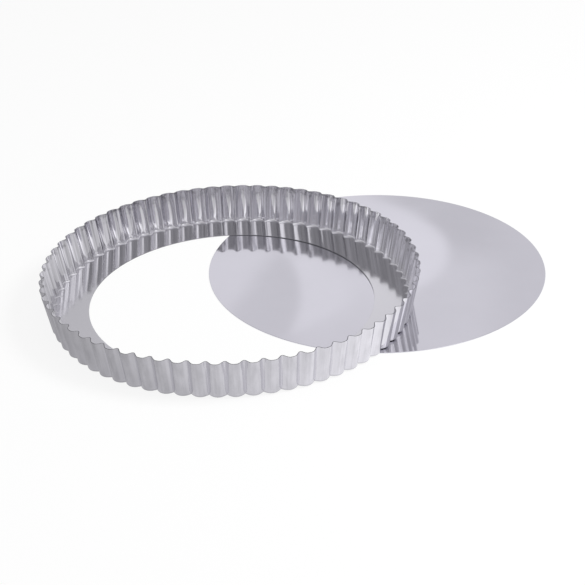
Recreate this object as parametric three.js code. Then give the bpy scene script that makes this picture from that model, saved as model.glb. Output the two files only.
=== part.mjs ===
// A loose-bottom tart pan, in millimetres, +Z up.
// The pan is two loose pieces of tinplate: a fluted ring with a narrow flat ledge inside its foot, and
// a flat round base that drops into the ring and lies on that ledge. Here the base lies flat, slid out
// sideways under the ring, and the ring leans on its edge. The origin is the centre of the base's underside.

import * as THREE from 'three';

// Loose base
const baseDiameter = 259;
const baseThickness = 0.6;
const baseEdgeRound = 0.2;

// Fluted ring
const sheet = 0.4;
const ringHeight = 30; // to the top of the inward ridges
const rimDip = 0.55; // how much lower the rim runs over the outward bulges
const ledgeLap = 23.5; // how far the ledge reaches in under a seated base
const bendRadius = 0.8; // inside the corner between the ledge and the wall
const wallFlare = 5.2; // how far the wall leans out from foot to rim, along the outward bulges
const fluteCount = 68;
const footFluteDepth = 3.4; // from inward ridge to outward bulge, at the foot
const rimFluteDepth = 3.3; // and at the rim
const rimBroadening = 0.24; // second harmonic: broad outward bulges, narrow inward ridges at the rim

// Fits
const basePlay = 0.3; // around a seated base, up to the bend at the foot of the ridges
const restGap = 0.3; // under the ledge, where it leans on the base's edge

// How the two pieces lie
const slideOut = 120; // between the axes of the ring and the base
const slideHeading = THREE.MathUtils.degToRad(23); // from the ring to the base, anticlockwise from +X

// Facets
const stepsPerFlute = 8;
const bendSteps = 2;
const baseSteps = 144;
const baseEdgeSteps = 1;

const baseRadius = baseDiameter / 2;
const holeRadius = baseRadius - ledgeLap;

// Radii of the middle of the sheet, at the sharp corner of ledge and wall and at the rim.
const footRidge = baseRadius + basePlay + bendRadius + sheet / 2;
const footBulge = footRidge + footFluteDepth;
const rimBulge = footBulge + wallFlare;
const footMiddle = footBulge - footFluteDepth / 2;
const rimMiddle = rimBulge - rimFluteDepth / 2;

// The flutes at the foot: round arcs side by side, which meet in sharp ridges. The reach goes from -1 on an
// inward ridge to 1 on an outward bulge, and the rate is its change per radian of the ring.
function footFlute(angle) {
  const flutesPerRadian = fluteCount / (2 * Math.PI);
  const across = (flutesPerRadian * angle) % 1;
  return { reach: 8 * across * (1 - across) - 1, rate: 8 * (1 - 2 * across) * flutesPerRadian };
}

// The flutes at the rim, in the same terms: a soft wave with broad bulges.
function rimFlute(angle) {
  const turn = fluteCount * angle;
  return {
    reach: -Math.cos(turn) + rimBroadening * (1 - Math.cos(2 * turn)),
    rate: fluteCount * (Math.sin(turn) + 2 * rimBroadening * Math.sin(2 * turn)),
  };
}

// The middle line of the sheet in the upright plane at one angle, from the edge of the hole, along the
// ledge, round the bend and up the wall to the rim. Each stop has its radius and height, the way out
// through the sheet, the radius's change per radian, and how much a slanting cut lengthens the sheet.
function sectionLine(angle) {
  const foot = footFlute(angle);
  const rim = rimFlute(angle);
  const footRadius = footMiddle + (footFluteDepth / 2) * foot.reach;
  const rimRadius = rimMiddle + (rimFluteDepth / 2) * rim.reach;
  const footSwell = (footFluteDepth / 2) * foot.rate;
  const rimSwell = (rimFluteDepth / 2) * rim.rate;
  const rimLevel = ringHeight - (rimDip / 2) * (1 + rim.reach);
  const ledgeLevel = sheet / 2;
  const wallSlope = Math.atan2(rimLevel - ledgeLevel, rimRadius - footRadius);
  const bend = bendRadius + sheet / 2;
  const bendCentre = footRadius - bend * Math.tan(wallSlope / 2);
  const stops = [{ radius: holeRadius, height: ledgeLevel, out: [0, -1], swell: 0, cut: 1 }];
  for (let i = 0; i <= bendSteps; i++) {
    const swing = (wallSlope * i) / bendSteps;
    const out = [Math.sin(swing), -Math.cos(swing)];
    stops.push({
      radius: bendCentre + bend * out[0],
      height: ledgeLevel + bend * (1 + out[1]),
      out,
      swell: footSwell,
      cut: 1,
    });
  }
  const levelCut = 1 / Math.sin(wallSlope);
  stops.push({ radius: rimRadius, height: rimLevel, out: [1, 0], swell: rimSwell, cut: levelCut });
  return stops;
}

// A point on the inner (-1) or outer (+1) face of the sheet. Half the sheet is measured square to the
// metal, so the step in the upright plane grows where a flute's flank turns away from that plane.
function facePoint(stop, angle, side) {
  const flank = stop.swell / stop.radius;
  const step = ((side * sheet) / 2) * Math.hypot(stop.cut, stop.out[0] * flank);
  const radius = stop.radius + step * stop.out[0];
  const height = stop.height + step * stop.out[1];
  return new THREE.Vector3(radius * Math.cos(angle), radius * Math.sin(angle), height);
}

// The ring's closed section, swept round the axis: up the inner face and back down the outer one.
function ringGeometry() {
  const columns = fluteCount * stepsPerFlute;
  const points = [];
  for (let column = 0; column < columns; column++) {
    const angle = (2 * Math.PI * column) / columns;
    const stops = sectionLine(angle);
    const innerFace = stops.map((stop) => facePoint(stop, angle, -1));
    const outerFace = stops.map((stop) => facePoint(stop, angle, 1));
    points.push(...innerFace, ...outerFace.reverse());
  }
  const rows = points.length / columns;
  const corners = [];
  for (let column = 0; column < columns; column++) {
    const here = column * rows;
    const next = ((column + 1) % columns) * rows;
    for (let row = 0; row < rows; row++) {
      const above = (row + 1) % rows;
      corners.push(here + row, next + above, next + row);
      corners.push(here + row, here + above, next + above);
    }
  }
  const geometry = new THREE.BufferGeometry().setFromPoints(points);
  geometry.setIndex(corners);
  geometry.computeVertexNormals();
  return geometry;
}

// The base: a flat blank with lightly rounded edges, turned about its axis.
function baseGeometry() {
  const profile = new THREE.Path();
  profile.moveTo(0, 0);
  profile.lineTo(baseRadius - baseEdgeRound, 0);
  profile.absarc(baseRadius - baseEdgeRound, baseEdgeRound, baseEdgeRound, -Math.PI / 2, 0);
  profile.absarc(baseRadius - baseEdgeRound, baseThickness - baseEdgeRound, baseEdgeRound, 0, Math.PI / 2);
  profile.lineTo(0, baseThickness);
  const geometry = new THREE.LatheGeometry(profile.getPoints(baseEdgeSteps), baseSteps);
  geometry.rotateX(Math.PI / 2);
  return geometry;
}

const tinplate = new THREE.MeshStandardMaterial({ color: 0xc4c4ca, roughness: 0.3, metalness: 1 });
const polishedTinplate = new THREE.MeshStandardMaterial({ color: 0xd2d2d8, roughness: 0.15, metalness: 1 });

const looseBase = new THREE.Mesh(baseGeometry(), polishedTinplate);
looseBase.name = 'loose_base';

const flutedRing = new THREE.Mesh(ringGeometry(), tinplate);
flutedRing.name = 'fluted_ring';
flutedRing.rotation.z = -slideHeading; // an inward ridge faces the pan's +X

// The ring touches the floor at the far side of its foot and the base's edge at two points under the edge
// of the hole, so it leans by the base's thickness over the distance between them.
const footReach = footBulge - bendRadius - sheet / 2;
const propReach = (slideOut ** 2 + holeRadius ** 2 - baseRadius ** 2) / (2 * slideOut);
const lean = Math.atan((baseThickness + restGap) / (footReach + propReach));
const leaningRing = new THREE.Group();
leaningRing.add(flutedRing);
leaningRing.rotation.set(0, -lean, slideHeading, 'ZYX');
leaningRing.position.set(-slideOut * Math.cos(slideHeading), -slideOut * Math.sin(slideHeading), 0);
leaningRing.position.z = footReach * Math.sin(lean);

const tartPan = new THREE.Group();
tartPan.add(looseBase, leaningRing);

export default tartPan;
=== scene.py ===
# A loose-bottom tart pan: the fluted ring, and the polished base slid out to the right and back under it.
# All lengths are in metres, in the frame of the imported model.

import math

import bmesh
import bpy
from mathutils import Matrix, Vector


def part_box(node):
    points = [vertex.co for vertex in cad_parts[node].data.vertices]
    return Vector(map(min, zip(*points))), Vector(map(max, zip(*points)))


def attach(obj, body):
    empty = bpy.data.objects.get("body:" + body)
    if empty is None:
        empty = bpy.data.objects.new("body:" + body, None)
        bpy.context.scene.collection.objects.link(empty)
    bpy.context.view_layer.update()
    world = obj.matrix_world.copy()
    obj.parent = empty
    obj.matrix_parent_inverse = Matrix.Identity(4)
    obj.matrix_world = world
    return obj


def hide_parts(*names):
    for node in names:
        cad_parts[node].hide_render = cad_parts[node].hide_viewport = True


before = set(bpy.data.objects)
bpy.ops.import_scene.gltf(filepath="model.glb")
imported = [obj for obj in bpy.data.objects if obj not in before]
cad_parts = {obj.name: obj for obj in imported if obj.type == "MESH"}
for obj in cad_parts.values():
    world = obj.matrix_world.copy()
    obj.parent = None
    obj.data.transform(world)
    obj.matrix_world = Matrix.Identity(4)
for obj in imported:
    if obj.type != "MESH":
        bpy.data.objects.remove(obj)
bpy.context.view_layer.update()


# The loose base: a flat round blank stamped from bright rolled tinplate, its cut edge dressed round.
# It lies on the table by itself, and nothing fixes it. The ring stands partly over it, so the place of the
# ring's axis comes here, for the scuffs on the polish.

base_low, base_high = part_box("loose_base")
base_radius = (base_high.x - base_low.x) / 2
base_thickness = base_high.z - base_low.z
base_edge_round = 0.0002
base_edge_stops = 4
base_steps = 360
slide_out = 0.120
slide_heading = math.radians(23)
ring_axis = Vector((-slide_out * math.cos(slide_heading), -slide_out * math.sin(slide_heading), 0.0))

base_profile = []
for corner_height, first_swing in ((base_edge_round, -90), (base_thickness - base_edge_round, 0)):
    for stop in range(base_edge_stops + 1):
        swing = math.radians(first_swing + 90 * stop / base_edge_stops)
        edge_radius = base_radius - base_edge_round * (1 - math.cos(swing))
        base_profile.append((edge_radius, corner_height + base_edge_round * math.sin(swing)))

blank = bmesh.new()
blank_rings = []
for radius, height in base_profile:
    ring_points = []
    for step in range(base_steps):
        angle = 2 * math.pi * step / base_steps
        ring_points.append(blank.verts.new((radius * math.cos(angle), radius * math.sin(angle), height)))
    blank_rings.append(ring_points)
for lower, upper in zip(blank_rings, blank_rings[1:]):
    for step in range(base_steps):
        after = (step + 1) % base_steps
        edge_face = blank.faces.new((lower[step], lower[after], upper[after], upper[step]))
        edge_face.smooth = True
blank.faces.new(tuple(reversed(blank_rings[0])))
blank.faces.new(tuple(blank_rings[-1]))
base_mesh = bpy.data.meshes.new("loose_base_tinplate")
blank.to_mesh(base_mesh)
blank.free()


def add_node(tree, kind, inputs=None, **settings):
    """Adds a node with its settings, and links or fills its inputs."""
    made = tree.nodes.new(kind)
    for name, value in settings.items():
        setattr(made, name, value)
    for name, value in (inputs or {}).items():
        if isinstance(value, bpy.types.NodeSocket):
            tree.links.new(value, made.inputs[name])
        else:
            made.inputs[name].default_value = value
    return made


def remap(tree, value, start, end, low=0.0, high=1.0, soft=False):
    """A value's way from start to end, as a number that goes from low to high and stays between them."""
    return add_node(tree, "ShaderNodeMapRange", {
        "Value": value, "From Min": start, "From Max": end, "To Min": low, "To Max": high},
        interpolation_type="SMOOTHSTEP" if soft else "LINEAR").outputs["Result"]


polished = bpy.data.materials.new("polished_tinplate")
polished.use_nodes = True
polished_nodes = polished.node_tree
polished_nodes.nodes.clear()
base_place = add_node(polished_nodes, "ShaderNodeTexCoord").outputs["Object"]

# Slow waves left in the sheet by the rolls, and the fine lines along the rolling direction.
sheet_waves = add_node(polished_nodes, "ShaderNodeTexNoise", {
    "Vector": base_place, "Scale": 9.0, "Detail": 1.0, "Roughness": 0.4})
wave_bump = add_node(polished_nodes, "ShaderNodeBump", {
    "Height": sheet_waves.outputs["Fac"], "Strength": 1.0, "Distance": 0.00012})
along_rolls = add_node(polished_nodes, "ShaderNodeMapping", {
    "Vector": base_place, "Rotation": (0.0, 0.0, math.radians(24)), "Scale": (14.0, 900.0, 1.0)})
roll_lines = add_node(polished_nodes, "ShaderNodeTexNoise", {
    "Vector": along_rolls.outputs["Vector"], "Scale": 1.0, "Detail": 3.0, "Roughness": 0.6})
roll_bump = add_node(polished_nodes, "ShaderNodeBump", {
    "Height": roll_lines.outputs["Fac"], "Strength": 1.0, "Distance": 0.0000006,
    "Normal": wave_bump.outputs["Normal"]})

# The polish is a little uneven, in soft clouds, and faintly scuffed in a band where the edge of the ring's
# hole rubs on it.
scuffs_begin = (0.070, 0.098)
scuffs_end = (0.100, 0.130)
scuff_roughness = 0.12
polish_clouds = add_node(polished_nodes, "ShaderNodeTexNoise", {
    "Vector": base_place, "Scale": 22.0, "Detail": 3.0, "Roughness": 0.55})
clear_polish = remap(polished_nodes, polish_clouds.outputs["Fac"], 0.3, 0.7, 0.04, 0.055)
from_ring_axis = add_node(polished_nodes, "ShaderNodeVectorMath", {
    0: base_place, 1: ring_axis}, operation="DISTANCE").outputs["Value"]
to_hole_edge = remap(polished_nodes, from_ring_axis, *scuffs_begin, clear_polish, scuff_roughness, soft=True)
polish_roughness = remap(polished_nodes, from_ring_axis, *scuffs_end, to_hole_edge, clear_polish, soft=True)
polish_tone = remap(polished_nodes, polish_clouds.outputs["Fac"], 0.3, 0.7, 0.97, 1.0)
polish_colour = add_node(polished_nodes, "ShaderNodeVectorMath", {
    0: (0.735, 0.726, 0.777), "Scale": polish_tone}, operation="SCALE")
polished_metal = add_node(polished_nodes, "ShaderNodeBsdfPrincipled", {
    "Base Color": polish_colour.outputs["Vector"], "Metallic": 1.0,
    "Roughness": polish_roughness, "Normal": roll_bump.outputs["Normal"]})
add_node(polished_nodes, "ShaderNodeOutputMaterial", {"Surface": polished_metal.outputs["BSDF"]})

loose_base = bpy.data.objects.new("tart_pan_base", base_mesh)
base_mesh.materials.append(polished)
bpy.context.collection.objects.link(loose_base)
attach(loose_base, "base")
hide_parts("loose_base")


# The fluted ring: one piece of tinplate pressed from a round blank, with a flat ledge inside its foot, a
# small bend and a flared wall of 68 flutes. Its hole and its rim are cut bare. It stands loose: its
# foot touches the table on the far side, and its ledge leans on the edge of the base.

ring_sizes = {
    "Hole Radius": 0.106,
    "Foot Radius": 0.1325,
    "Rim Radius": 0.13775,
    "Height": 0.030,
    "Sheet": 0.0004,
    "Bend Radius": 0.0018,
    "Flutes": 68,
    "Foot Depth": 0.0034,
    "Rim Depth": 0.0033,
    "Ridge Rounding": 0.10,
    "Rim Broadening": 0.24,
    "Rim Dip": 0.00055,
    "Unevenness": 0.10,
    "Steps per Flute": 24,
    "Crowding": 0.08,
    "Straight Cuts": 6,
    "Edge Margin": 0.00012,
    "Bend Points": 5,
}
ring_foot_reach = 0.1327
ring_prop_reach = 0.0369
ring_prop_gap = 0.00006
ring_lean = math.atan((base_thickness + ring_prop_gap) / (ring_foot_reach + ring_prop_reach))

press = bpy.data.node_groups.new("flute_press", "GeometryNodeTree")
press.is_modifier = True
for name, value in ring_sizes.items():
    kind = "NodeSocketInt" if isinstance(value, int) else "NodeSocketFloat"
    press.interface.new_socket(name, in_out="INPUT", socket_type=kind)
press.interface.new_socket("Finish", in_out="INPUT", socket_type="NodeSocketMaterial")
press.interface.new_socket("Ring", in_out="OUTPUT", socket_type="NodeSocketGeometry")
given = add_node(press, "NodeGroupInput").outputs


def calc(tree, operation, *values):
    """A Math node's result."""
    return add_node(tree, "ShaderNodeMath", dict(enumerate(values)), operation=operation).outputs[0]


def vector_of(tree, x, y, z):
    """Three numbers as one vector."""
    return add_node(tree, "ShaderNodeCombineXYZ", {"X": x, "Y": y, "Z": z}).outputs["Vector"]


def blend(tree, share, first, second):
    """A number that goes from the first to the second as the share goes from 0 to 1."""
    return add_node(tree, "ShaderNodeMix", {"Factor": share, "A": first, "B": second}).outputs["Result"]


# The middle of the sheet in one upright plane: from the hole along the ledge, round the bend, up the wall.
ledge_level = calc(press, "MULTIPLY", given["Sheet"], 0.5)
section_stop = add_node(press, "GeometryNodeIndexSwitch", {
    "Index": add_node(press, "GeometryNodeInputIndex").outputs["Index"]}, data_type="VECTOR")
wall_flare = calc(press, "SUBTRACT", given["Rim Radius"], given["Foot Radius"])
wall_lean = calc(press, "DIVIDE", wall_flare, given["Height"])
margin_lean = calc(press, "MULTIPLY", wall_lean, given["Edge Margin"])
below_rim_radius = calc(press, "SUBTRACT", given["Rim Radius"], margin_lean)
below_rim_height = calc(press, "SUBTRACT", given["Height"], given["Edge Margin"])
section_stops = (
    vector_of(press, given["Hole Radius"], 0.0, ledge_level),
    vector_of(press, calc(press, "ADD", given["Hole Radius"], given["Edge Margin"]), 0.0, ledge_level),
    vector_of(press, given["Foot Radius"], 0.0, ledge_level),
    vector_of(press, below_rim_radius, 0.0, below_rim_height),
    vector_of(press, given["Rim Radius"], 0.0, given["Height"]),
)
for number, stop in enumerate(section_stops):
    if number > 1:
        section_stop.index_switch_items.new()
    press.links.new(stop, section_stop.inputs[number + 1])
section_points = add_node(press, "GeometryNodeSetPosition", {
    "Geometry": add_node(press, "GeometryNodeMeshLine", {"Count": len(section_stops)}).outputs["Mesh"],
    "Position": section_stop.outputs["Output"]})
section_line = add_node(press, "GeometryNodeMeshToCurve", {"Mesh": section_points.outputs["Geometry"]})
stop_number = add_node(press, "GeometryNodeInputIndex").outputs["Index"]
long_stretch = calc(press, "COMPARE", stop_number, 1.5, 0.6)
section_cuts = add_node(press, "GeometryNodeSubdivideCurve", {
    "Curve": section_line.outputs["Curve"],
    "Cuts": calc(press, "MULTIPLY", long_stretch, given["Straight Cuts"])})
at_corner = calc(press, "COMPARE", stop_number, calc(press, "ADD", given["Straight Cuts"], 2.0), 0.5)
section_bend = add_node(press, "GeometryNodeFilletCurve", {
    "Curve": section_cuts.outputs["Curve"], "Count": given["Bend Points"],
    "Radius": calc(press, "MULTIPLY", at_corner, given["Bend Radius"])}, mode="POLY")
section = add_node(press, "GeometryNodeCurveToMesh", {"Curve": section_bend.outputs["Curve"]}).outputs["Mesh"]
section_size = add_node(press, "GeometryNodeAttributeDomainSize", {"Geometry": section})
rows = section_size.outputs["Point Count"]

# The sheet is a grid, with one column for each upright plane round the ring and one row for each stop. The
# columns stand closer together near the ridges, where the sheet turns most.
columns = calc(press, "MULTIPLY", given["Flutes"], given["Steps per Flute"])
flat_sheet = add_node(press, "GeometryNodeMeshGrid", {
    "Vertices X": calc(press, "ADD", columns, 1.0), "Vertices Y": rows})
point_number = add_node(press, "GeometryNodeInputIndex").outputs["Index"]
row = calc(press, "MODULO", point_number, rows)
column = calc(press, "FLOOR", calc(press, "DIVIDE", point_number, rows))
even_flute = calc(press, "DIVIDE", column, given["Steps per Flute"])
crowding = calc(press, "SINE", calc(press, "MULTIPLY", even_flute, 2 * math.pi))
flutes_round = calc(press, "SUBTRACT", even_flute, calc(press, "MULTIPLY", crowding, given["Crowding"]))
angle_round = calc(press, "MULTIPLY", calc(press, "DIVIDE", flutes_round, given["Flutes"]), 2 * math.pi)
section_place = add_node(press, "GeometryNodeSampleIndex", {
    "Geometry": section, "Index": row}, data_type="FLOAT_VECTOR")
section_position = add_node(press, "GeometryNodeInputPosition").outputs["Position"]
press.links.new(section_position, section_place.inputs["Value"])
stop_place = add_node(press, "ShaderNodeSeparateXYZ", {0: section_place.outputs["Value"]}).outputs

# The flutes run from -1 on an inward ridge to 1 on an outward bulge. At the foot they are round arcs that
# meet in sharp ridges, and towards the rim they turn into a soft wave with broad bulges.
across_flute = calc(press, "FRACT", flutes_round)
to_next_ridge = calc(press, "SUBTRACT", 1.0, across_flute)
arc_rise = calc(press, "MULTIPLY", across_flute, to_next_ridge)
arcs = calc(press, "SUBTRACT", calc(press, "MULTIPLY", arc_rise, 8.0), 1.0)
turn = calc(press, "MULTIPLY", angle_round, given["Flutes"])
second_harmonic = calc(press, "SUBTRACT", 1.0, calc(press, "COSINE", calc(press, "MULTIPLY", turn, 2.0)))
broad_wave = calc(press, "SUBTRACT", calc(press, "MULTIPLY", second_harmonic, given["Rim Broadening"]),
                  calc(press, "COSINE", turn))
up_the_wall = remap(press, stop_place["Z"], ledge_level, given["Height"])
softened = remap(press, calc(press, "POWER", up_the_wall, 3.0), 0.0, 1.0, given["Ridge Rounding"], 1.0)
flute_wave = blend(press, softened, arcs, broad_wave)
flute_depth = remap(press, stop_place["Z"], ledge_level, given["Height"],
                    given["Foot Depth"], given["Rim Depth"])
ledge_end = calc(press, "SUBTRACT", given["Foot Radius"], calc(press, "MULTIPLY", given["Bend Radius"], 2.0))
off_the_hole = remap(press, stop_place["X"], given["Hole Radius"], ledge_end)

# Pressed by dies that wear, so no two flutes are quite as deep.
round_x = calc(press, "COSINE", angle_round)
round_y = calc(press, "SINE", angle_round)
die_wear = add_node(press, "ShaderNodeTexNoise", {
    "Vector": vector_of(press, round_x, round_y, calc(press, "MULTIPLY", stop_place["Z"], 12.0)),
    "Scale": 13.0, "Detail": 1.0})
uneven = calc(press, "MULTIPLY", calc(press, "SUBTRACT", die_wear.outputs["Fac"], 0.62), given["Unevenness"])
half_depth = calc(press, "MULTIPLY", calc(press, "MULTIPLY", flute_depth, 0.5), off_the_hole)
uneven_depth = calc(press, "MULTIPLY", half_depth, calc(press, "ADD", uneven, 1.0))
flute_reach = calc(press, "MULTIPLY", uneven_depth, flute_wave)
fluted_radius = calc(press, "ADD", stop_place["X"], flute_reach)

# The blank was trimmed round before it was fluted, so the rim is lower on the bulges, which lean out more.
up_the_sheet = calc(press, "DIVIDE", calc(press, "SUBTRACT", stop_place["Z"], ledge_level), given["Height"])
half_dip = calc(press, "MULTIPLY", calc(press, "MULTIPLY", up_the_sheet, given["Rim Dip"]), 0.5)
dip_here = calc(press, "MULTIPLY", half_dip, calc(press, "ADD", flute_wave, 1.0))
middle_place = vector_of(press, calc(press, "MULTIPLY", fluted_radius, round_x),
                         calc(press, "MULTIPLY", fluted_radius, round_y),
                         calc(press, "SUBTRACT", stop_place["Z"], dip_here))
middle_sheet = add_node(press, "GeometryNodeSetPosition", {
    "Geometry": flat_sheet.outputs["Mesh"], "Position": middle_place})

# Where each point lies on the wall, and how near to a ridge, kept for the marks of the press and for the
# painted highlight on the ridges outside.
wall_place = add_node(press, "GeometryNodeStoreNamedAttribute", {
    "Geometry": middle_sheet.outputs["Geometry"], "Name": "wall_place"},
    data_type="FLOAT_VECTOR", domain="POINT")
press.links.new(vector_of(press, calc(press, "MULTIPLY", round_x, given["Foot Radius"]),
                          calc(press, "MULTIPLY", round_y, given["Foot Radius"]), stop_place["Z"]),
                wall_place.inputs["Value"])
ridge_near = add_node(press, "GeometryNodeStoreNamedAttribute", {
    "Geometry": wall_place.outputs["Geometry"], "Name": "ridge_near"}, data_type="FLOAT", domain="POINT")
press.links.new(remap(press, flute_wave, 0.6, -0.6), ridge_near.inputs["Value"])
closed_round = add_node(press, "GeometryNodeMergeByDistance", {
    "Geometry": ridge_near.outputs["Geometry"], "Distance": 0.00001})

# The sheet's thickness: the inner face half a sheet inside, and the outer face pushed out from it.
inward = add_node(press, "ShaderNodeVectorMath", {
    0: add_node(press, "GeometryNodeInputNormal").outputs["Normal"],
    "Scale": calc(press, "MULTIPLY", given["Sheet"], -0.5)}, operation="SCALE")
inner_face = add_node(press, "GeometryNodeSetPosition", {
    "Geometry": closed_round.outputs["Geometry"], "Offset": inward.outputs["Vector"]})
outer_face = add_node(press, "GeometryNodeExtrudeMesh", {
    "Mesh": inner_face.outputs["Geometry"], "Offset Scale": given["Sheet"], "Individual": False},
    mode="FACES")
cut_edges = add_node(press, "GeometryNodeStoreNamedAttribute", {
    "Geometry": outer_face.outputs["Mesh"], "Name": "cut_edge"}, data_type="FLOAT", domain="FACE")
press.links.new(outer_face.outputs["Side"], cut_edges.inputs["Value"])
smooth_outer = add_node(press, "GeometryNodeSetShadeSmooth", {
    "Geometry": cut_edges.outputs["Geometry"],
    "Shade Smooth": calc(press, "SUBTRACT", 1.0, outer_face.outputs["Side"])})
turned_inner = add_node(press, "GeometryNodeFlipFaces", {"Mesh": inner_face.outputs["Geometry"]})
inner_marked = add_node(press, "GeometryNodeStoreNamedAttribute", {
    "Geometry": turned_inner.outputs["Mesh"], "Name": "inner_side", "Value": 1.0},
    data_type="FLOAT", domain="FACE")
smooth_inner = add_node(press, "GeometryNodeSetShadeSmooth", {"Geometry": inner_marked.outputs["Geometry"]})
both_faces = add_node(press, "GeometryNodeJoinGeometry")
press.links.new(smooth_outer.outputs["Geometry"], both_faces.inputs["Geometry"])
press.links.new(smooth_inner.outputs["Geometry"], both_faces.inputs["Geometry"])
whole_sheet = add_node(press, "GeometryNodeMergeByDistance", {
    "Geometry": both_faces.outputs["Geometry"], "Distance": 0.00001})

# Nothing of the cut rim stands above the ring's height.
sheet_place = add_node(press, "ShaderNodeSeparateXYZ", {
    0: add_node(press, "GeometryNodeInputPosition").outputs["Position"]}).outputs
kept_height = calc(press, "MINIMUM", sheet_place["Z"], given["Height"])
trimmed_rim = add_node(press, "GeometryNodeSetPosition", {
    "Geometry": whole_sheet.outputs["Geometry"],
    "Position": vector_of(press, sheet_place["X"], sheet_place["Y"], kept_height)})
realized = add_node(press, "GeometryNodeRealizeInstances", {"Geometry": trimmed_rim.outputs["Geometry"]})
finished = add_node(press, "GeometryNodeSetMaterial", {
    "Geometry": realized.outputs["Geometry"], "Material": given["Finish"]})
add_node(press, "NodeGroupOutput", {"Ring": finished.outputs["Geometry"]})

tinplate = bpy.data.materials.new("tinplate")
tinplate.use_nodes = True
tinplate_nodes = tinplate.node_tree
tinplate_nodes.nodes.clear()
on_wall = add_node(tinplate_nodes, "ShaderNodeAttribute", attribute_name="wall_place").outputs["Vector"]
ring_place_coords = add_node(tinplate_nodes, "ShaderNodeTexCoord").outputs["Object"]

# Fine creases run up the ridges where the sheet was drawn over the die, plainest on the inside, and the
# sheet has puckered a little at the foot and under the rim.
wall_height = add_node(tinplate_nodes, "ShaderNodeSeparateXYZ", {0: on_wall}).outputs["Z"]
along_draw = add_node(tinplate_nodes, "ShaderNodeMapping", {"Vector": on_wall, "Scale": (650.0, 650.0, 5.0)})
creases = add_node(tinplate_nodes, "ShaderNodeTexVoronoi", {
    "Vector": along_draw.outputs["Vector"], "Scale": 1.0})
inner_side = add_node(tinplate_nodes, "ShaderNodeAttribute", attribute_name="inner_side").outputs["Fac"]
ridge_nearness = add_node(tinplate_nodes, "ShaderNodeAttribute", attribute_name="ridge_near").outputs["Fac"]
crease_side = remap(tinplate_nodes, inner_side, 0.0, 1.0, 0.25, 1.0)
crease_height = remap(tinplate_nodes, wall_height, 0.0006, 0.0025)
crease_strength = calc(tinplate_nodes, "MULTIPLY", crease_side, calc(
    tinplate_nodes, "MULTIPLY", ridge_nearness, crease_height))
crease_bump = add_node(tinplate_nodes, "ShaderNodeBump", {
    "Height": calc(tinplate_nodes, "MULTIPLY", creases.outputs["Distance"], crease_strength),
    "Strength": 1.0, "Distance": 0.00015})
pucker_place = add_node(tinplate_nodes, "ShaderNodeMapping", {
    "Vector": ring_place_coords, "Scale": (500.0, 500.0, 90.0)})
puckers = add_node(tinplate_nodes, "ShaderNodeTexNoise", {
    "Vector": pucker_place.outputs["Vector"], "Scale": 1.0, "Detail": 2.0, "Roughness": 0.5})
puckered = calc(
    tinplate_nodes, "MAXIMUM", remap(tinplate_nodes, wall_height, 0.016, 0.029), calc(
        tinplate_nodes, "MINIMUM", remap(tinplate_nodes, wall_height, 0.0003, 0.0012),
        remap(tinplate_nodes, wall_height, 0.009, 0.001)))
pucker_bump = add_node(tinplate_nodes, "ShaderNodeBump", {
    "Height": calc(tinplate_nodes, "MULTIPLY", puckers.outputs["Fac"], puckered),
    "Strength": 1.0, "Distance": 0.0001, "Normal": crease_bump.outputs["Normal"]})
handling = add_node(tinplate_nodes, "ShaderNodeTexNoise", {
    "Vector": ring_place_coords, "Scale": 60.0, "Detail": 3.0, "Roughness": 0.6})
wall_roughness = remap(tinplate_nodes, handling.outputs["Fac"], 0.3, 0.7, 0.07, 0.10)
tinplate_roughness = remap(tinplate_nodes, wall_height, 0.0003, 0.0008, 0.12, wall_roughness)

# The tin is streaked the way the wall was drawn, and on the inside the streaks are stronger, partly as
# painted reflections; the inside is also smudged under the rim.
streak_place = add_node(tinplate_nodes, "ShaderNodeMapping", {
    "Vector": on_wall, "Scale": (760.0, 760.0, 8.0)})
streaks = add_node(tinplate_nodes, "ShaderNodeTexNoise", {
    "Vector": streak_place.outputs["Vector"], "Scale": 1.0, "Detail": 3.0, "Roughness": 0.6})
# The streaks are drawing marks, made deeper on the inside as painted reflections.
streak_depth = calc(tinplate_nodes, "MULTIPLY", remap(tinplate_nodes, inner_side, 0.0, 1.0, 0.10, 0.45),
                    remap(tinplate_nodes, wall_height, 0.0006, 0.004))
streaks_and_painted_reflections = calc(tinplate_nodes, "MULTIPLY", streak_depth, remap(
    tinplate_nodes, streaks.outputs["Fac"], 0.3, 0.7, -0.7, 0.45))
smudges = add_node(tinplate_nodes, "ShaderNodeTexNoise", {
    "Vector": ring_place_coords, "Scale": 260.0, "Detail": 2.0, "Roughness": 0.5})
smudge_tone = calc(tinplate_nodes, "MULTIPLY", calc(
    tinplate_nodes, "MULTIPLY", inner_side, remap(tinplate_nodes, wall_height, 0.021, 0.029)),
    remap(tinplate_nodes, smudges.outputs["Fac"], 0.52, 0.68, 0.0, 0.45))
rim_marks = calc(tinplate_nodes, "MULTIPLY", calc(
    tinplate_nodes, "MULTIPLY", inner_side, remap(tinplate_nodes, wall_height, 0.0284, 0.0296)),
    remap(tinplate_nodes, ridge_nearness, 0.6, 1.0, 0.0, 0.40))
inside_tone = calc(tinplate_nodes, "SUBTRACT", 1.0, calc(tinplate_nodes, "MAXIMUM", smudge_tone, rim_marks))
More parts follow.
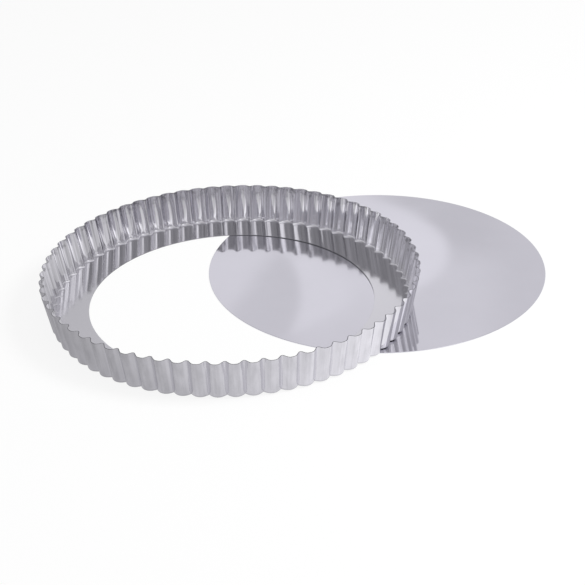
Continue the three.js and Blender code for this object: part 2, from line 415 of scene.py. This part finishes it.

# Outside it is mottled; a painted highlight makes it paler on the ridges, and painted shade makes it darker
# along the foot and under the ledge.
mottle_place = add_node(tinplate_nodes, "ShaderNodeMapping", {
    "Vector": on_wall, "Scale": (210.0, 210.0, 70.0)})
mottle = add_node(tinplate_nodes, "ShaderNodeTexNoise", {
    "Vector": mottle_place.outputs["Vector"], "Scale": 1.0, "Detail": 2.0, "Roughness": 0.5})
mottle_tone = remap(tinplate_nodes, mottle.outputs["Fac"], 0.32, 0.68, 0.92, 1.10)
# Painted highlight: paler towards the ridges.
mottle_and_ridge_highlight = remap(tinplate_nodes, ridge_nearness, 0.0, 1.0, mottle_tone, 1.10)
# Painted shade: darker along the foot and under the ledge.
outside_with_painted_light = remap(tinplate_nodes, wall_height, 0.0005, 0.0022, 0.75, mottle_and_ridge_highlight)
side_tone = remap(tinplate_nodes, inner_side, 0.0, 1.0, outside_with_painted_light, inside_tone)
tin_tone = calc(tinplate_nodes, "ADD", streaks_and_painted_reflections, side_tone)
tin_colour = add_node(tinplate_nodes, "ShaderNodeVectorMath", {
    0: (0.728, 0.722, 0.749), "Scale": tin_tone}, operation="SCALE")

# The cut edges show duller steel.
cut_edge = add_node(tinplate_nodes, "ShaderNodeAttribute", attribute_name="cut_edge").outputs["Fac"]
tinplate_colour = add_node(tinplate_nodes, "ShaderNodeMix", {
    "Factor": cut_edge, 6: tin_colour.outputs["Vector"], 7: (0.20, 0.20, 0.21, 1.0)}, data_type="RGBA")
tinplate_metal = add_node(tinplate_nodes, "ShaderNodeBsdfPrincipled", {
    "Base Color": tinplate_colour.outputs[2], "Metallic": 1.0,
    "Roughness": tinplate_roughness, "Normal": pucker_bump.outputs["Normal"]})
add_node(tinplate_nodes, "ShaderNodeOutputMaterial", {"Surface": tinplate_metal.outputs["BSDF"]})

fluted_ring = bpy.data.objects.new("tart_pan_ring", bpy.data.meshes.new("ring_blank"))
bpy.context.collection.objects.link(fluted_ring)
pressing = fluted_ring.modifiers.new("pressing", "NODES")
pressing.node_group = press
for name, value in ring_sizes.items():
    pressing[press.interface.items_tree[name].identifier] = value
pressing[press.interface.items_tree["Finish"].identifier] = tinplate
pressed = fluted_ring.evaluated_get(bpy.context.evaluated_depsgraph_get())
ring_mesh = bpy.data.meshes.new_from_object(pressed)
ring_mesh.name = "fluted_ring_tinplate"
fluted_ring.modifiers.remove(pressing)
fluted_ring.data = ring_mesh

ring_rise = Vector((0.0, 0.0, ring_foot_reach * math.sin(ring_lean)))
ring_mesh.transform(
    Matrix.Translation(ring_axis + ring_rise)
    @ Matrix.Rotation(slide_heading, 4, "Z")
    @ Matrix.Rotation(-ring_lean, 4, "Y")
    @ Matrix.Rotation(-slide_heading, 4, "Z")
)
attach(fluted_ring, "ring")
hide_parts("fluted_ring")


# The table: a plain white sheet under the pan, which keeps the pan's soft shadow. It is part of the stage.
# The camera sees it almost white, and the metal mirrors it with painted shade and light of its own.

table_half = 5.0
table_level = -0.0001
table_mesh = bpy.data.meshes.new("table_sheet")
table_mesh.from_pydata(
    [(-table_half, -table_half, table_level), (table_half, -table_half, table_level),
     (table_half, table_half, table_level), (-table_half, table_half, table_level)], [], [(0, 1, 2, 3)])
table = bpy.data.objects.new("table_top", table_mesh)
bpy.context.collection.objects.link(table)
paper = bpy.data.materials.new("white_sheet")
paper.use_nodes = True
paper_nodes = paper.node_tree
paper_nodes.nodes.clear()
paper_ray = add_node(paper_nodes, "ShaderNodeLightPath").outputs
paper_lift = calc(paper_nodes, "MAXIMUM", calc(paper_nodes, "MULTIPLY", paper_ray["Is Camera Ray"], 0.88),
                  calc(paper_nodes, "MULTIPLY", paper_ray["Is Glossy Ray"], 0.9))
paper_sheet = add_node(paper_nodes, "ShaderNodeBsdfDiffuse", {"Color": (0.85, 0.85, 0.85, 1.0)})

# In the metal the sheet has painted shade that dims it towards the front left, and a painted pool of light
# inside the ring near its back wall, which stands in for the light the wall throws back on it.
paper_place = add_node(paper_nodes, "ShaderNodeTexCoord").outputs["Object"]
paper_away = add_node(paper_nodes, "ShaderNodeVectorMath", {
    0: paper_place, 1: (2.0, 1.0, 0.0)}, operation="DOT_PRODUCT").outputs["Value"]
paper_back = add_node(paper_nodes, "ShaderNodeSeparateXYZ", {0: paper_place}).outputs["Y"]
paper_from_ring = add_node(paper_nodes, "ShaderNodeVectorMath", {
    0: paper_place, 1: ring_axis}, operation="DISTANCE").outputs["Value"]
# Painted pool of light inside the ring, near its back wall.
painted_light_pool = calc(paper_nodes, "MULTIPLY", remap(paper_nodes, paper_from_ring, 0.128, 0.112),
                   remap(paper_nodes, paper_back, -0.01, 0.06, 0.0, 0.5, soft=True))
painted_sheet_shade_and_light = calc(paper_nodes, "ADD", remap(paper_nodes, paper_away, -0.65, -0.15, 0.38, 1.0), painted_light_pool)
paper_glow = blend(paper_nodes, paper_ray["Is Camera Ray"], painted_sheet_shade_and_light, 1.0)
paper_tint = add_node(paper_nodes, "ShaderNodeMix", {
    "Factor": paper_ray["Is Camera Ray"], 6: (0.998, 0.99, 1.03, 1.0), 7: (1.0, 1.0, 1.0, 1.0)},
    data_type="RGBA")
paper_white = add_node(paper_nodes, "ShaderNodeEmission", {
    "Color": paper_tint.outputs[2], "Strength": paper_glow})
paper_mix = add_node(paper_nodes, "ShaderNodeMixShader", {
    "Fac": paper_lift, 1: paper_sheet.outputs["BSDF"], 2: paper_white.outputs["Emission"]})
add_node(paper_nodes, "ShaderNodeOutputMaterial", {"Surface": paper_mix.outputs["Shader"]})
table_mesh.materials.append(paper)


# The light: a white tent all round, with a lit cloth at the back and a pale roof, and a tall soft light in
# four parts at the right front. A lamp at the right and a panel overhead, which the metal doesn't mirror,
# light the sheet and give the shadow.

tent = bpy.data.worlds.new("white_tent")
bpy.context.scene.world = tent
tent.use_nodes = True
tent_nodes = tent.node_tree
tent_nodes.nodes.clear()
tent_ray = add_node(tent_nodes, "ShaderNodeLightPath").outputs
tent_direction = add_node(tent_nodes, "ShaderNodeTexCoord").outputs["Generated"]
tent_side = add_node(tent_nodes, "ShaderNodeSeparateXYZ", {0: tent_direction}).outputs


def fold_line(bow, height):
    """How far right a part of the cloth lies of a fold that bows out to the right, most so at one height."""
    off = calc(tent_nodes, "SUBTRACT", tent_side["Z"], height)
    return calc(tent_nodes, "ADD", tent_side["X"], calc(
        tent_nodes, "MULTIPLY", calc(tent_nodes, "MULTIPLY", off, off), bow))


# The cloth behind the pan hangs in soft folds: dim at its left end, a dark one left of its middle, the
# brightest right of it, and a shaded one beyond.
left_end = remap(tent_nodes, tent_side["X"], -0.15, -0.056, 0.62, 0.85, soft=True)
slanted = calc(tent_nodes, "ADD", tent_side["X"], calc(
    tent_nodes, "MULTIPLY", calc(tent_nodes, "SUBTRACT", tent_side["Z"], 0.459), 0.917))
dark_fold = blend(tent_nodes, remap(tent_nodes, slanted, -0.022, -0.002, soft=True), left_end, 0.742)
bright_fold = remap(tent_nodes, tent_side["X"], 0.05, 0.09, 0.885, 0.925, soft=True)
shaded_fold = remap(tent_nodes, tent_side["Z"], 0.470, 0.445, 0.795, 0.69, soft=True)
right_end = remap(tent_nodes, tent_side["X"], 0.125, 0.165, shaded_fold, 0.74, soft=True)
left_folds = blend(tent_nodes, remap(tent_nodes, fold_line(14.0, 0.484), 0.001, 0.0095, soft=True),
                   dark_fold, bright_fold)
cloth_folds = blend(tent_nodes, remap(tent_nodes, fold_line(43.5, 0.4575), 0.106, 0.117, soft=True),
                    left_folds, right_end)
cloth_low = remap(tent_nodes, tent_side["Z"], 0.38, 0.41, 0.95, cloth_folds, soft=True)
cloth_top = remap(tent_nodes, tent_side["X"], -0.16, -0.02, 0.63, 0.80)
cloth_tone = remap(tent_nodes, tent_side["Z"], 0.530, 0.560, cloth_low, cloth_top, soft=True)

# Round the rest the tent is dim low down but for a white card at the front left, then bright, and dim above.
# The right side is more even, and the roof is brighter to the right.
to_card = add_node(tent_nodes, "ShaderNodeVectorMath", {
    0: tent_direction, 1: (-0.423, -0.906, 0.0)}, operation="DOT_PRODUCT").outputs["Value"]
card = calc(tent_nodes, "MULTIPLY", remap(tent_nodes, to_card, 0.90, 0.98, soft=True),
            remap(tent_nodes, tent_side["Z"], 0.24, 0.19, soft=True))
tent_right = remap(tent_nodes, tent_side["X"], 0.35, 0.75, soft=True)
uneven_tent = add_node(tent_nodes, "ShaderNodeTexNoise", {
    "Vector": tent_direction, "Scale": 9.0, "Detail": 2.0, "Roughness": 0.6}).outputs["Fac"]
tent_low = blend(tent_nodes, card, remap(tent_nodes, uneven_tent, 0.35, 0.65, 0.30, 0.78), 1.35)
uneven_belt = remap(tent_nodes, uneven_tent, 0.35, 0.65, 0.68, 1.0)
tent_belt = remap(tent_nodes, tent_right, 0.0, 1.0, uneven_belt, 0.60)
tent_high = remap(tent_nodes, tent_right, 0.0, 1.0, 0.37, 0.70)
tent_rising = remap(tent_nodes, tent_side["Z"], 0.27, 0.36, tent_low, tent_belt, soft=True)
tent_walls = remap(tent_nodes, tent_side["Z"], 0.46, 0.60, tent_rising, tent_high, soft=True)
roof_tone = remap(tent_nodes, tent_side["X"], -0.25, 0.25, 0.62, 1.05)
tent_roof = remap(tent_nodes, tent_side["Z"], 0.78, 0.94, tent_walls, roof_tone, soft=True)
cloth_here = calc(tent_nodes, "MULTIPLY", remap(tent_nodes, tent_side["Y"], 0.45, 0.75, soft=True),
                  remap(tent_nodes, tent_side["Z"], 0.70, 0.54, soft=True))
tent_tone = blend(tent_nodes, cloth_here, tent_roof, cloth_tone)
tent_glow = add_node(tent_nodes, "ShaderNodeBackground", {"Strength": 0.38})
tent_seen = add_node(tent_nodes, "ShaderNodeBackground", {"Strength": tent_tone})
tent_white = add_node(tent_nodes, "ShaderNodeBackground", {"Strength": 1.0})
for tent_part in (tent_glow, tent_white):
    tent_part.inputs["Color"].default_value = (1.0, 1.0, 1.0, 1.0)
tent_seen.inputs["Color"].default_value = (0.998, 0.99, 1.03, 1.0)
tent_mirrored = add_node(tent_nodes, "ShaderNodeMixShader", {
    "Fac": tent_ray["Is Glossy Ray"], 1: tent_glow.outputs["Background"],
    2: tent_seen.outputs["Background"]})
tent_all = add_node(tent_nodes, "ShaderNodeMixShader", {
    "Fac": tent_ray["Is Camera Ray"], 1: tent_mirrored.outputs["Shader"],
    2: tent_white.outputs["Background"]})
add_node(tent_nodes, "ShaderNodeOutputWorld", {"Surface": tent_all.outputs["Shader"]})

pan_middle = Vector((-0.06, -0.03, 0.0))
lamp_distance = 1.7
for lamp_name, lamp_azimuth, lamp_elevation, lamp_width, lamp_height, lamp_power, lamp_mirrored in (
    ("key_lamp", -12, 47, 0.6, 0.6, 26.0, False),
    ("tall_light_top", -39, 48, 0.80, 0.42, 0.7, True),
    ("tall_light_middle", -39, 36.5, 0.80, 0.27, 0.42, True),
    ("tall_light", -37, 25.5, 0.78, 0.36, 0.42, True),
    ("tall_light_foot", -39, 14, 0.80, 0.30, 0.30, True),
    ("top_panel", 0, 88, 0.8, 0.8, 3.6, False),
):
    lamp_light = bpy.data.lights.new(lamp_name, "AREA")
    lamp_light.shape = "RECTANGLE"
    lamp_light.size = lamp_width
    lamp_light.size_y = lamp_height
    lamp_light.energy = lamp_power
    lamp = bpy.data.objects.new(lamp_name, lamp_light)
    swing = math.radians(lamp_azimuth)
    rise = math.radians(lamp_elevation)
    lamp_way = Vector((math.cos(rise) * math.cos(swing), math.cos(rise) * math.sin(swing), math.sin(rise)))
    lamp.location = pan_middle + lamp_way * lamp_distance
    lamp.rotation_euler = lamp_way.to_track_quat("Z", "Y").to_euler()
    lamp.visible_glossy = lamp_mirrored
    bpy.context.collection.objects.link(lamp)


# The camera: a long lens in front of the pan that looks down on it, with a slight tilt to one side. Its place
# was fitted to the edges of the base and the hole, and to the rim and the foot of the ring.

camera_target = Vector((-0.06531, -0.03820, 0.0))
camera_elevation = math.radians(28.893)
camera_distance = 1.05486
camera_roll = math.radians(-1.594)
camera_lens = bpy.data.cameras.new("camera")
camera_lens.sensor_width = 36.0
camera_lens.lens = 86.41
camera_lens.clip_end = 50.0
camera = bpy.data.objects.new("camera", camera_lens)
camera_away = Vector((0.0, -math.cos(camera_elevation), math.sin(camera_elevation)))
camera.matrix_world = (
    Matrix.Translation(camera_target + camera_away * camera_distance)
    @ Matrix.Rotation(math.pi / 2 - camera_elevation, 4, "X")
    @ Matrix.Rotation(camera_roll, 4, "Z")
)
bpy.context.collection.objects.link(camera)
bpy.context.scene.camera = camera
bpy.context.scene.view_settings.view_transform = "Standard"
